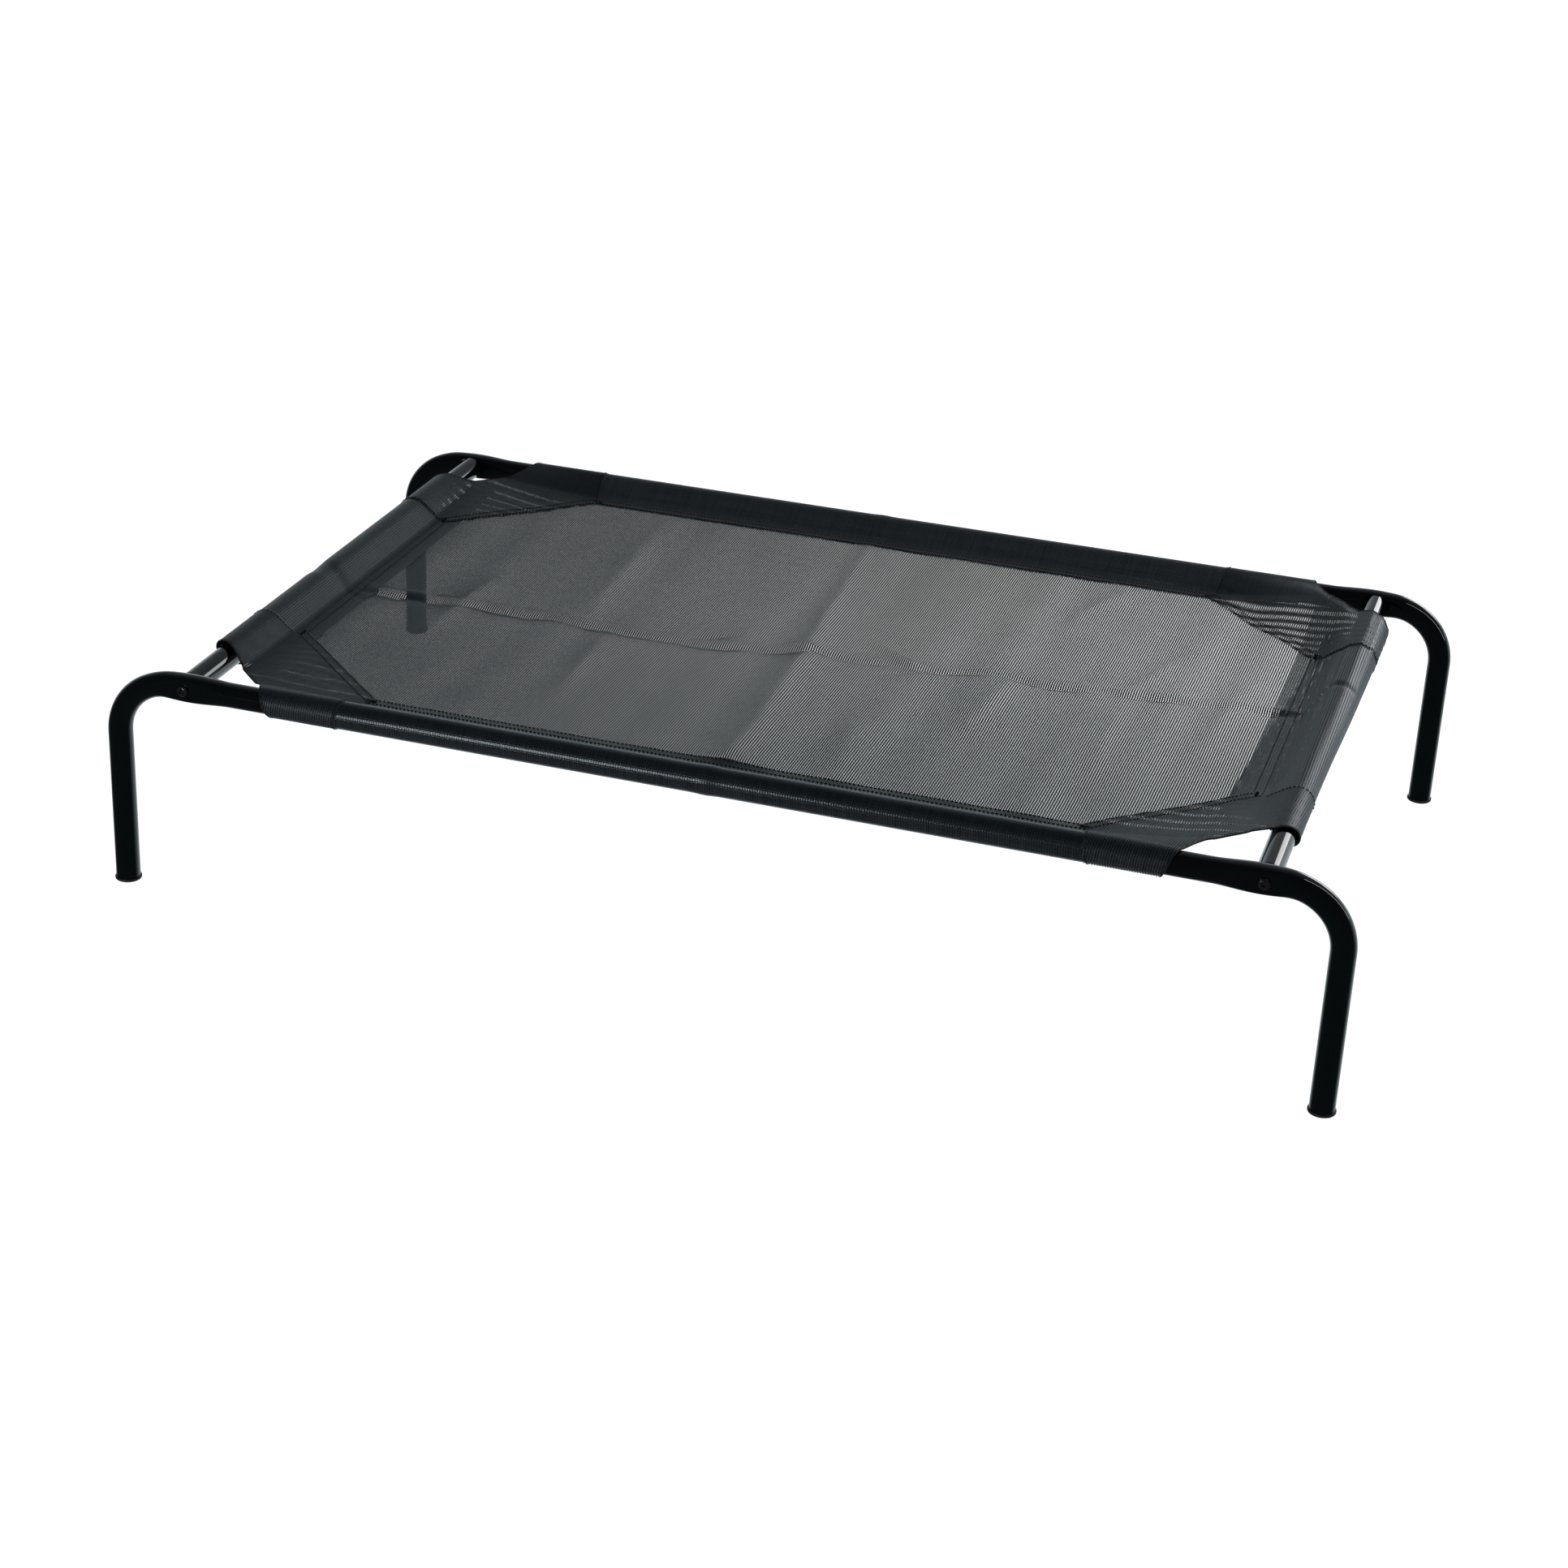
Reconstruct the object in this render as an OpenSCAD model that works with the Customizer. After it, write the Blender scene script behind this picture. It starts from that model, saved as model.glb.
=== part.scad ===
// Raised pet bed: two bent tube rails with legs, two bolted cross bars, and a sewn mesh sling.
// Millimetres, +Z up. X runs along the rails, Y from the front rail to the rear rail,
// and the origin is on the floor under the middle of the bed.

/* [Frame] */
// Distance between the leg axes along a rail
leg_span = 1090; // [1070:1:1150]
// Distance between the axes of the two rails
rail_gap = 640; // [600:1:680]
// Height of the rail axis above the floor
rail_height = 200; // [180:1:260]
// Distance between the axes of the two cross bars
bar_span = 954; // [944:1:960]
// Radius of the bends, on the tube axis
bend_radius = 53; // [50:1:55]

/* [Tube] */
// Outside diameter of every tube
tube_d = 22; // [21:0.5:23]
// Wall thickness of every tube
tube_wall = 1.2; // [1:0.1:1.6]
// Height of a rail where it is pressed flat for its bolt
pressed_height = 25.8; // [24:0.1:26]
// Thickness of a rail where it is pressed flat for its bolt
pressed_width = 17.5; // [17:0.1:19]

/* [Bolts] */
// Diameter of the bolt shank
bolt_d = 6; // [5:0.5:7]
// Length of the bolt under its head
bolt_length = 40; // [34:1:45]
// Diameter of the button head
bolt_head_d = 10.5; // [9.5:0.1:11.5]
// Height of the button head
bolt_head_height = 3.3; // [3:0.1:3.6]
// Width of the hexagonal socket across its flats
bolt_socket = 4; // [3:0.5:4.5]

/* [Feet] */
// Diameter of the foot cap's flange
cap_d = 24; // [23.5:0.5:28]
// Thickness of the foot cap's flange
cap_flange = 3; // [2.5:0.5:6]
// Length of the plug inside the leg
cap_plug = 15; // [8:1:30]

/* [Sling] */
// Thickness of one layer of the mesh
mesh = 0.8; // [0.6:0.1:1]
// Height of the seams below the rail axis
seam_drop = 4; // [2:0.5:6]
// Distance from the rail axis in to the inner stitch row of the long sleeves
rail_seam = 46; // [42:1:60]
// Distance from the cross bar axis in to the inner stitch row of the side sleeves
bar_seam = 38; // [36:1:50]
// Distance between the two stitch rows of a seam
row_gap = 8; // [5:1:10]
// Outside radius of the long sleeves
long_sleeve_r = 12.3; // [12.2:0.1:14]
// Outside radius of the side sleeves
side_sleeve_r = 15; // [13:0.1:16]
// Half the length of a long sleeve, at the rail axis
long_sleeve_end = 410; // [380:1:412]
// Half the length of a side sleeve, at the cross bar axis
side_sleeve_end = 252; // [220:1:254]
// Reach of a corner patch along the rail
patch_x = 132; // [80:1:160]
// Reach of a corner patch along the cross bar
patch_y = 126; // [80:1:160]

/* [Hidden] */
$fn = 96;

steel_black = [0.05, 0.05, 0.06];
screw_black = [0.1, 0.1, 0.11];
cap_black = [0.13, 0.13, 0.14];
insert_grey = [0.3, 0.3, 0.32];
mesh_grey = [0.36, 0.37, 0.4];
sleeve_grey = [0.24, 0.25, 0.27];
patch_grey = [0.28, 0.29, 0.31];

tube_r = tube_d / 2;
bore_r = tube_r - tube_wall;
leg_x = leg_span / 2;
rail_y = rail_gap / 2;
bar_x = bar_span / 2;
bend_x = leg_x - bend_radius;
bend_z = rail_height - bend_radius;

// The pressed stretch of a rail: a barrel makes it taller, and two large round dies make it thinner
press_x = bar_x - 4;
bulge_half = 23;
bulge_r = pressed_height / 2;
bulge_arc = arc_radius(bulge_half, bulge_r - tube_r);
bulge_overrun = 4;
die_half = 30;
die_arc = arc_radius(die_half, tube_r - pressed_width / 2);
fine = 360;
bore_overrun = 1;

seat_depth = 0.35;
seat_clearance = 0.3;
bolt_seat_y = rail_y + pressed_width / 2 - seat_depth;
bar_end_y = rail_y - pressed_width / 2 + seat_depth;
bolt_hole_r = bolt_d / 2 + 0.25;
head_rim = 0.4;
socket_depth = 2.1;
thread_clearance = 0.05;
insert_length = 18;
insert_clearance = 0.05;
cap_edge = 1;
cap_clearance = 0.05;

stitch_margin = 4;
seam_tongue = 24;
tip_back = 2;
tip_half = 0.2;
patch_gap = 0.3;
end_slant = 0.68;
seam_z = rail_height - seam_drop;
rail_reach = rail_seam - row_gap - stitch_margin;
bar_reach = bar_seam - row_gap - stitch_margin;
panel_x = bar_x - bar_reach;
panel_y = rail_y - rail_reach;
long_corner = long_sleeve_end + end_slant * rail_reach;
side_corner = side_sleeve_end + end_slant * bar_reach;

// Radius of the arc that rises by height over a chord of twice half
function arc_radius(half, height) = (half * half + height * height) / (2 * height);

module tube(length) {
    difference() {
        cylinder(r = tube_r, h = length);
        translate([0, 0, -1]) cylinder(r = bore_r, h = length + 2);
    }
}

// One end of a rail as a solid bar, drawn in from the tube's outside by inset
module rail_end_bar(inset) {
    translate([bend_x, 0, bend_z])
        rotate([90, 0, 0])
        rotate_extrude(angle = 90)
        translate([bend_radius, 0])
        circle(r = tube_r - inset);
    foot = inset > 0 ? cap_flange - bore_overrun : cap_flange;
    translate([leg_x, 0, foot]) cylinder(r = tube_r - inset, h = bend_z - foot);
    translate([press_x, 0, rail_height]) rotate([0, 90, 0]) rotate_extrude() intersection() {
        translate([bulge_r - bulge_arc, 0]) circle(r = bulge_arc - inset, $fn = fine);
        translate([0, -bulge_half - bulge_overrun]) square([tube_d, 2 * (bulge_half + bulge_overrun)]);
    }
}

module die(inset) {
    for (side = [-1, 1])
        translate([press_x, side * (pressed_width / 2 + die_arc), rail_height - tube_d])
            cylinder(r = die_arc + inset, h = 2 * tube_d, $fn = fine);
}

module rail_bar(inset) {
    difference() {
        union() {
            translate([-bend_x, 0, rail_height]) rotate([0, 90, 0]) cylinder(r = tube_r - inset, h = 2 * bend_x);
            rail_end_bar(inset);
            mirror([1, 0, 0]) rail_end_bar(inset);
        }
        die(inset);
        mirror([1, 0, 0]) die(inset);
    }
}

// The bolt's clear hole, the flat that its head sits on, and the flat that the cross bar meets
module bolt_cuts() {
    translate([bar_x, 0, rail_height]) rotate([90, 0, 0]) {
        translate([0, 0, -tube_d]) cylinder(r = bolt_hole_r, h = 2 * tube_d);
        translate([0, 0, bolt_seat_y - rail_y]) cylinder(r = bolt_head_d / 2 + seat_clearance, h = tube_d);
        translate([0, 0, bar_end_y - rail_y - tube_d]) cylinder(r = tube_r + seat_clearance, h = tube_d);
    }
}

module rail() {
    translate([0, -rail_y, 0]) difference() {
        rail_bar(0);
        rail_bar(tube_wall);
        bolt_cuts();
        mirror([1, 0, 0]) bolt_cuts();
    }
}

module cross_bar(side) {
    translate([side * bar_x, bar_end_y, rail_height]) rotate([90, 0, 0]) tube(2 * bar_end_y);
}

// Moves a piece drawn along the bolt's axis, head at the origin's positive side, to its corner
module at_bolt(x_side, y_side) {
    mirror([0, y_side > 0 ? 1 : 0, 0])
        translate([x_side * bar_x, -rail_y, rail_height])
        rotate([90, 0, 0])
        children();
}

module bolt() {
    dome = bolt_head_height - head_rim;
    dome_r = (pow(bolt_head_d / 2, 2) + dome * dome) / (2 * dome);
    translate([0, 0, bolt_seat_y - rail_y]) {
        difference() {
            intersection() {
                cylinder(d = bolt_head_d, h = bolt_head_height);
                translate([0, 0, bolt_head_height - dome_r]) sphere(r = dome_r);
            }
            translate([0, 0, bolt_head_height - socket_depth])
                cylinder(r = bolt_socket / sqrt(3), h = socket_depth + 1, $fn = 6);
        }
        translate([0, 0, -bolt_length]) cylinder(d = bolt_d, h = bolt_length);
    }
}

module insert() {
    translate([0, 0, bar_end_y - rail_y - insert_length]) difference() {
        cylinder(r = bore_r - insert_clearance, h = insert_length);
        translate([0, 0, -1]) cylinder(r = bolt_d / 2 + thread_clearance, h = insert_length + 2);
    }
}

module foot_cap(x_side, y_side) {
    flange_r = cap_d / 2;
    translate([x_side * leg_x, y_side * rail_y, 0]) {
        cylinder(r1 = flange_r - cap_edge, r2 = flange_r, h = cap_edge);
        translate([0, 0, cap_edge]) cylinder(r = flange_r, h = cap_flange - cap_edge);
        cylinder(r = bore_r - cap_clearance, h = cap_flange + cap_plug);
    }
}

// Outline of a sleeve's end: a circle round the tube and its tangents to the seam's two faces
function tangent_point(p, r, side) =
    let (a = atan2(p[1], p[0]) + side * acos(r / norm(p)))
    [r * cos(a), r * sin(a)];

module teardrop(r, reach, half) {
    top = [reach, half - seam_drop];
    low = [reach, -half - seam_drop];
    circle(r = r);
    polygon([[0, 0], tangent_point(low, r, -1), low, top, tangent_point(top, r, 1)]);
}

module sleeve_outline(r, reach) {
    difference() {
        teardrop(r, reach, mesh);
        teardrop(r - mesh, reach - tip_back, tip_half);
    }
    translate([reach, -seam_drop - mesh]) square([seam_tongue, mesh]);
}

// A vertical block that trims a sleeve to its slanted ends; reach and half are on the tube axis
module end_block(half, reach) {
    outside = tube_d;
    inside = reach + seam_tongue;
    end_in = half + end_slant * reach;
    end_tongue = end_in - seam_tongue / 2;
    end_out = half - end_slant * outside;
    linear_extrude(2 * rail_height) polygon([
        [-end_out, -outside], [end_out, -outside], [end_in, reach], [end_tongue, inside],
        [-end_tongue, inside], [-end_in, reach],
    ]);
}

module long_sleeve() {
    length = 2 * long_corner;
    translate([0, -rail_y, 0]) intersection() {
        translate([-length / 2, 0, rail_height])
            rotate([90, 0, 90])
            linear_extrude(length)
            sleeve_outline(long_sleeve_r, rail_reach);
        end_block(long_sleeve_end, rail_reach);
    }
}

module side_sleeve() {
    length = 2 * side_corner;
    translate([-bar_x, 0, 0]) intersection() {
        translate([0, length / 2, rail_height])
            rotate([90, 0, 0])
            linear_extrude(length)
            sleeve_outline(side_sleeve_r, bar_reach);
        rotate([0, 0, -90]) end_block(side_sleeve_end, bar_reach);
    }
}

module sling_panel() {
    color(mesh_grey) translate([0, 0, seam_z]) linear_extrude(mesh) polygon([
        [-long_corner, -panel_y], [long_corner, -panel_y], [panel_x, -side_corner], [panel_x, side_corner],
        [long_corner, panel_y], [-long_corner, panel_y], [-panel_x, side_corner], [-panel_x, -side_corner],
    ]);
}

module corner_patch(x_side, y_side) {
    edge_x = panel_x - patch_gap;
    edge_y = panel_y - patch_gap;
    color(patch_grey)
        mirror([x_side < 0 ? 1 : 0, 0, 0])
        mirror([0, y_side < 0 ? 1 : 0, 0])
        translate([0, 0, seam_z + mesh])
        linear_extrude(mesh)
        polygon([
            [edge_x - patch_x, edge_y], [long_corner - patch_gap, edge_y],
            [edge_x, side_corner - patch_gap], [edge_x, edge_y - patch_y],
        ]);
}

module front_rail() { color(steel_black) rail(); }
module rear_rail() { color(steel_black) mirror([0, 1, 0]) rail(); }
module left_cross_bar() { color(steel_black) cross_bar(-1); }
module right_cross_bar() { color(steel_black) cross_bar(1); }
module bolt_front_left() { color(screw_black) at_bolt(-1, -1) bolt(); }
module bolt_front_right() { color(screw_black) at_bolt(1, -1) bolt(); }
module bolt_rear_left() { color(screw_black) at_bolt(-1, 1) bolt(); }
module bolt_rear_right() { color(screw_black) at_bolt(1, 1) bolt(); }
module insert_front_left() { color(insert_grey) at_bolt(-1, -1) insert(); }
module insert_front_right() { color(insert_grey) at_bolt(1, -1) insert(); }
module insert_rear_left() { color(insert_grey) at_bolt(-1, 1) insert(); }
module insert_rear_right() { color(insert_grey) at_bolt(1, 1) insert(); }
module foot_cap_front_left() { color(cap_black) foot_cap(-1, -1); }
module foot_cap_front_right() { color(cap_black) foot_cap(1, -1); }
module foot_cap_rear_left() { color(cap_black) foot_cap(-1, 1); }
module foot_cap_rear_right() { color(cap_black) foot_cap(1, 1); }
module front_sleeve() { color(sleeve_grey) long_sleeve(); }
module rear_sleeve() { color(sleeve_grey) mirror([0, 1, 0]) long_sleeve(); }
module left_sleeve() { color(sleeve_grey) side_sleeve(); }
module right_sleeve() { color(sleeve_grey) mirror([1, 0, 0]) side_sleeve(); }
module corner_patch_front_left() { corner_patch(-1, -1); }
module corner_patch_front_right() { corner_patch(1, -1); }
module corner_patch_rear_left() { corner_patch(-1, 1); }
module corner_patch_rear_right() { corner_patch(1, 1); }

front_rail();
rear_rail();
left_cross_bar();
right_cross_bar();
bolt_front_left();
bolt_front_right();
bolt_rear_left();
bolt_rear_right();
insert_front_left();
insert_front_right();
insert_rear_left();
insert_rear_right();
foot_cap_front_left();
foot_cap_front_right();
foot_cap_rear_left();
foot_cap_rear_right();
sling_panel();
front_sleeve();
rear_sleeve();
left_sleeve();
right_sleeve();
corner_patch_front_left();
corner_patch_front_right();
corner_patch_rear_left();
corner_patch_rear_right();
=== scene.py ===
"""Looks of the raised mesh pet bed: gloss tube frame, bolts, foot caps and a sewn sling of see-through mesh.

Everything is in metres. Cloth pieces are cut as flat outlines, meshed, and put in place by a function from
flat cloth coordinates to space, so the weave runs on between them.
"""

import math

import bpy
import numpy as np
from mathutils import Matrix, Vector
from mathutils.geometry import delaunay_2d_cdt


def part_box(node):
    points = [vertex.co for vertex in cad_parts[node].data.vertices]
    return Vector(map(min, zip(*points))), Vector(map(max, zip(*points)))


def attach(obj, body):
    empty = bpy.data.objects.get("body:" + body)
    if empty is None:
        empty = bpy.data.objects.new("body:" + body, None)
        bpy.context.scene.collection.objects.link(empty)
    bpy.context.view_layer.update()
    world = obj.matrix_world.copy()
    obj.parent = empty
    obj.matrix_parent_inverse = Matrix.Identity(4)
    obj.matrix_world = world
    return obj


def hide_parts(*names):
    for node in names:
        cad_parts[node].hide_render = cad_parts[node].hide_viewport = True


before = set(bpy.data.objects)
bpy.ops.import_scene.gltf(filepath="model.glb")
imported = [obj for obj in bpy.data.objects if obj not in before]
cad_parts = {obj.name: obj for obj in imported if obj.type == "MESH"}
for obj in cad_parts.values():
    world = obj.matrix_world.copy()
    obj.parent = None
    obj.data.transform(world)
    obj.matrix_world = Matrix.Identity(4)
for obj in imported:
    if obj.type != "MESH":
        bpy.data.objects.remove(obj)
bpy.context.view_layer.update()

CORNERS = [("front_left", -1, -1), ("front_right", 1, -1), ("rear_left", -1, 1), ("rear_right", 1, 1)]

# ---- Sizes from the frame

bar_low, bar_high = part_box("right_cross_bar")
rail_low, rail_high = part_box("rear_rail")
bolt_low, bolt_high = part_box("bolt_rear_right")
cap_low, cap_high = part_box("foot_cap_rear_right")
panel_low, panel_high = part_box("sling_panel")

TUBE_R = (bar_high.z - bar_low.z) / 2
BAR_X = (bar_high.x + bar_low.x) / 2
BAR_END_Y = bar_high.y
RAIL_Z = (bar_high.z + bar_low.z) / 2
RAIL_Y = (rail_low.y + rail_high.y) / 2
LEG_X = rail_high.x - TUBE_R
LEG_FOOT_Z = rail_low.z
CAP_R = (cap_high.x - cap_low.x) / 2
BOLT_TOP_Y = bolt_high.y
BOLT_R = (bolt_high.x - bolt_low.x) / 2
PANEL_X = panel_high.x
PANEL_Y = panel_high.y
SEAM_Z = (panel_low.z + panel_high.z) / 2

# ---- Frame sizes

BEND_RADIUS = 0.053
TUBE_WALL = 0.0012
TUBE_SIDES = 64
PRESS_X = BAR_X - 0.004
PRESS_HALF = 0.030
PRESS_BULGE = 0.0019
PRESS_THICKNESS = 0.0175
PRESS_BLEND = 0.0006
SEAT_R = 0.0080
SEAT_DEPTH = 0.00035

# ---- Sling sizes

CLOTH = 0.0004
LAYER_GAP = 0.0006
RAIL_REACH = RAIL_Y - PANEL_Y
BAR_REACH = BAR_X - PANEL_X
LONG_ROW_Y = RAIL_Y - 0.046
SIDE_ROW_X = BAR_X - 0.038
ROW_GAP = 0.008
HEM = 0.0015
SIDE_STRIP = 0.014
DIAGONAL_X = 0.319
DIAGONAL_Y = 0.160
LONG_SLEEVE_R = 0.0118
SIDE_SLEEVE_R = 0.0145
LONG_CORNER = 0.4280
SIDE_CORNER = 0.2635
SAG = 0.0035
TUBE_TOP = RAIL_Z + TUBE_R
WARP_PITCH = 0.0022
WEFT_PITCH = 0.00185
STITCH_PITCH = 0.0037
STITCH_LENGTH = 0.0031
THREAD_R = 0.00040
TACK_THREADS = 14
TACK_HALF = 0.0045
TACK_LENGTH = 0.0030
HEM_R = 0.00085
DIAGONAL_RUN = math.hypot(SIDE_ROW_X - DIAGONAL_X, LONG_ROW_Y - DIAGONAL_Y)
DIAGONAL_NORMAL = ((LONG_ROW_Y - DIAGONAL_Y) / DIAGONAL_RUN, (SIDE_ROW_X - DIAGONAL_X) / DIAGONAL_RUN)

rng = np.random.default_rng(7)


def smooth_step(low, high, x):
    t = np.clip((x - low) / (high - low), 0.0, 1.0)
    return t * t * (3 - 2 * t)


def bump(x, centre, half_width):
    """1 at the centre, 0 from half_width away, smooth between."""
    t = np.clip(np.abs(x - centre) / half_width, 0.0, 1.0)
    return (1 - t * t) ** 2


def smooth_min(a, b, blend):
    return -blend * np.logaddexp(-a / blend, -b / blend)


# ---- Materials


class Nodes:
    """A material's or the world's nodes, with short calls for those that patterns need."""

    def __init__(self, owner, shader_type="BSDF_PRINCIPLED"):
        self.owner = owner
        owner.use_nodes = True
        self.tree = owner.node_tree
        self.shader = next(n for n in self.tree.nodes if n.type == shader_type)

    def put(self, socket, value):
        """Links a socket to another, or sets its value."""
        if isinstance(value, bpy.types.NodeSocket):
            self.tree.links.new(value, socket)
        else:
            socket.default_value = value

    def add(self, kind, inputs=(), **settings):
        """A new node. The keys of inputs are the names or the numbers of its sockets."""
        node = self.tree.nodes.new(kind)
        for key, value in settings.items():
            setattr(node, key, value)
        for key, value in dict(inputs).items():
            self.put(node.inputs[key], value)
        return node

    def place(self):
        return self.add("ShaderNodeTexCoord").outputs["Object"]

    def math(self, operation, *values):
        return self.add("ShaderNodeMath", enumerate(values), operation=operation).outputs[0]

    def times(self, a, b):
        return self.math("MULTIPLY", a, b)

    def noise(self, vector, scale, detail, roughness=0.5):
        inputs = {"Vector": vector, "Scale": scale, "Detail": detail, "Roughness": roughness}
        return self.add("ShaderNodeTexNoise", inputs).outputs["Fac"]

    def between(self, value, low, high, to_low, to_high, kind="LINEAR"):
        """Maps value from low..high to to_low..to_high, and stops at the ends."""
        inputs = enumerate((value, low, high, to_low, to_high))
        return self.add("ShaderNodeMapRange", inputs, interpolation_type=kind).outputs[0]

    def mix(self, factor, a, b):
        """Two colours mixed, by the sockets 6 and 7 and the output 2 that colours have on this node."""
        return self.add("ShaderNodeMix", {0: factor, 6: a, 7: b}, data_type="RGBA").outputs[2]

    def bump(self, height, distance, strength):
        inputs = {"Height": height, "Distance": distance, "Strength": strength}
        return self.add("ShaderNodeBump", inputs).outputs["Normal"]

    def finish(self, **sockets):
        for key, value in sockets.items():
            self.put(self.shader.inputs[key.replace("_", " ")], value)
        return self.owner


def new_material(name):
    return Nodes(bpy.data.materials.new(name))


def grey(value, tint):
    """A grey with its blue raised and its red lowered by tint."""
    return (value * (1 - tint), value, value * (1 + tint), 1.0)


def paint_material():
    m = new_material("gloss_powder_coat")
    place = m.place()
    peel = m.noise(place, 230.0, 1.0)
    cloud = m.noise(place, 14.0, 3.0)
    scuff = m.noise(place, 90.0, 6.0, 0.75)
    worn = m.between(scuff, 0.62, 0.78, 0.0, 1.0)
    shade = m.mix(cloud, (0.0008, 0.0018, 0.0019, 1), (0.0018, 0.0030, 0.0033, 1))
    colour = m.mix(m.times(worn, 0.35), shade, (0.014, 0.015, 0.016, 1))
    rough = m.math("ADD", m.between(cloud, 0.3, 0.7, 0.045, 0.085), m.times(worn, 0.10))
    return m.finish(
        Base_Color=colour,
        Roughness=rough,
        Specular_IOR_Level=0.45,
        Normal=m.bump(peel, 0.00006, 0.06),
    )


def grained_material(name, dark, light, rough, grain, cloud_scale, relief, **sockets):
    """A cloudy colour under a fine grain. grain is its scale and roughness, relief its depth and strength."""
    m = new_material(name)
    place = m.place()
    texture = m.noise(place, grain[0], 3.0, grain[1])
    return m.finish(
        Base_Color=m.mix(m.noise(place, cloud_scale, 3.0), dark, light),
        Roughness=m.between(texture, 0.3, 0.7, *rough),
        Normal=m.bump(texture, *relief),
        **sockets,
    )


def plastic_material(name, dark, light, rough):
    shades = grey(dark, 0.05), grey(light, 0.05)
    return grained_material(
        name, *shades, rough, (2200.0, 0.65), 160.0, (0.00005, 0.6), Specular_IOR_Level=0.4
    )


def ribbed_material(name, dark, light, rough, ribs, fuzz, relief, specular):
    """Thread or packed yarn. ribs is a wave's scale and distortion, fuzz a noise's scale and detail."""
    m = new_material(name)
    place = m.place()
    wave = m.add("ShaderNodeTexWave", {"Vector": place, "Scale": ribs[0], "Distortion": ribs[1]})
    shade = m.noise(place, *fuzz)
    return m.finish(
        Base_Color=m.mix(shade, dark, light),
        Roughness=m.between(shade, 0.3, 0.7, *rough),
        Specular_IOR_Level=specular,
        Normal=m.bump(wave.outputs["Fac"], *relief),
    )


def yarn_profile(m, along, half_width):
    """Across one yarn pitch: 1 in the middle of the yarn, 0 at its edge and in the hole."""
    middle = m.math("ABSOLUTE", m.math("SUBTRACT", m.math("FRACT", along), 0.5))
    edge = m.math("DIVIDE", middle, half_width)
    return m.math("MAXIMUM", m.math("SUBTRACT", 1.0, m.times(edge, edge)), 0.0)


def over_under(m, along, across):
    """From -1 to 1: how high a yarn rides over and under the crossing yarns."""
    phase = m.math("ADD", m.math("FLOOR", along), m.math("SUBTRACT", across, 0.5))
    return m.math("COSINE", m.times(phase, math.pi))


def yarn_streak(m, across, along):
    """0 to 1, different from yarn to yarn and slowly changing on its way: the thick and thin of a yarn."""
    each = m.add("ShaderNodeTexWhiteNoise", {"W": m.math("FLOOR", across)}, noise_dimensions="1D")
    stretched = m.add("ShaderNodeCombineXYZ", {"X": m.times(across, 0.55), "Y": m.times(along, 14.0)})
    inputs = {"Vector": stretched.outputs[0], "Scale": 1.0, "Detail": 1.0}
    slow = m.add("ShaderNodeTexNoise", inputs, noise_dimensions="2D")
    from_each = m.times(each.outputs["Value"], 0.45)
    from_slow = m.times(m.between(slow.outputs["Fac"], 0.25, 0.75, 0.0, 1.0), 0.55)
    return m.math("ADD", from_each, from_slow)


def mesh_material(name, tone, warp_width, weft_width, matt=0.42, relief=0.0002, opening=(0.0, 0.0)):
    """Plain weave of coated yarns with true holes. It reads the cloth's own coordinates, in metres.

    The yarns narrow by the two values of opening toward the right and rear of the cloth.
    """
    m = new_material(name)
    cloth = m.add("ShaderNodeAttribute", attribute_name="cloth").outputs["Vector"]
    drift = m.add("ShaderNodeTexNoise", {"Vector": cloth, "Scale": 9.0, "Detail": 1.0}, noise_dimensions="2D")
    inputs = {0: drift.outputs["Color"], 1: (0.0012, 0.0012, 0.0), 2: cloth}
    shift = m.add("ShaderNodeVectorMath", inputs, operation="MULTIPLY_ADD")
    parts = m.add("ShaderNodeSeparateXYZ", {"Vector": shift.outputs[0]}).outputs
    fx = m.math("DIVIDE", parts["X"], WARP_PITCH)
    fy = m.math("DIVIDE", parts["Y"], WEFT_PITCH)
    warp_streak = yarn_streak(m, fx, parts["Y"])
    weft_streak = yarn_streak(m, fy, parts["X"])
    rightward = m.between(parts["X"], -0.4, 0.4, 0.0, 1.0)
    rearward = m.between(parts["Y"], -0.3, 0.05, 0.2, 1.0)
    pulled = m.times(rightward, rearward)
    warp_half = m.between(pulled, 0.0, 1.0, warp_width / 2, (warp_width - opening[0]) / 2)
    weft_half = m.between(pulled, 0.0, 1.0, weft_width / 2, (weft_width - opening[1]) / 2)
    warp = yarn_profile(m, fx, m.times(warp_half, m.between(warp_streak, 0.0, 1.0, 0.984, 1.016)))
    weft = yarn_profile(m, fy, m.times(weft_half, m.between(weft_streak, 0.0, 1.0, 0.94, 1.06)))
    warp_height = m.times(warp, m.math("MULTIPLY_ADD", over_under(m, fx, fy), 0.35, 0.65))
    weft_height = m.times(weft, m.math("MULTIPLY_ADD", over_under(m, fy, fx), -0.35, 0.65))
    height = m.math("MAXIMUM", warp_height, weft_height)
    solid = m.math("GREATER_THAN", m.math("MAXIMUM", warp, weft), 0.02)
    fibre = m.noise(cloth, 1400.0, 2.0)
    # Painted shade: each yarn is coloured darker where it dips under the crossing yarns and lighter on its
    # crown, multiplied by each yarn's own lighter and darker streaks.
    dip_shade = m.between(height, 0.1, 1.0, 0.22, 1.0)
    streak = m.between(m.math("ADD", warp_streak, weft_streak), 0.4, 1.6, 0.60, 1.40)
    dip_shade_and_streak = m.times(dip_shade, streak)
    colour = m.mix(dip_shade_and_streak, grey(tone * 0.15, 0.20), grey(tone, 0.20))
    rough = m.math("ADD", m.between(fibre, 0.3, 0.7, matt, matt + 0.08), m.times(height, -0.05))
    return m.finish(
        Base_Color=colour,
        Roughness=rough,
        Specular_IOR_Level=0.5,
        Specular_Tint=(0.82, 0.95, 1.0, 1),
        Alpha=solid,
        Normal=m.bump(height, relief, 0.5),
    )


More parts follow.
